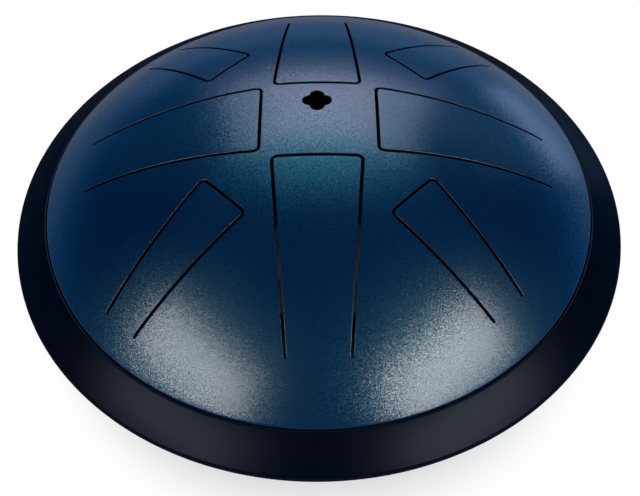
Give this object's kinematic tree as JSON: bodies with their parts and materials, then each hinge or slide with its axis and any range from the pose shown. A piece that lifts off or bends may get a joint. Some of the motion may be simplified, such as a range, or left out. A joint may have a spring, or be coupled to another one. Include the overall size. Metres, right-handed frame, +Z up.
{
  "type": "steel tongue drum",
  "caption": "Round steel tongue drum: domed shell with laser-cut tongues welded to a bowl with a sound port, black rubber edge ring, rubber feet.",
  "frame": {"origin": "on the ground under the middle of the drum, level with the undersides of the feet", "axes": "+Z up along the axis of the shells, -Y towards the player, +X to the player's right"},
  "size_m": [0.24, 0.24, 0.1015],
  "materials": {
    "shell_paint": "satin dark blue metallic paint with fine pearl flake, on pressed steel sheet",
    "weld_metal": "bare weld bead, hidden under the ring",
    "ring_rubber": "matte moulded black rubber",
    "foot_rubber": "matte moulded black rubber"
  },
  "bodies": {
    "root": {"top_shell": "shell_paint", "bottom_shell": "shell_paint", "rim_weld": "weld_metal", "edge_ring": "ring_rubber", "foot_front_right": "foot_rubber", "foot_back_right": "foot_rubber", "foot_back_left": "foot_rubber", "foot_front_left": "foot_rubber"}
  },
  "joints": []
}
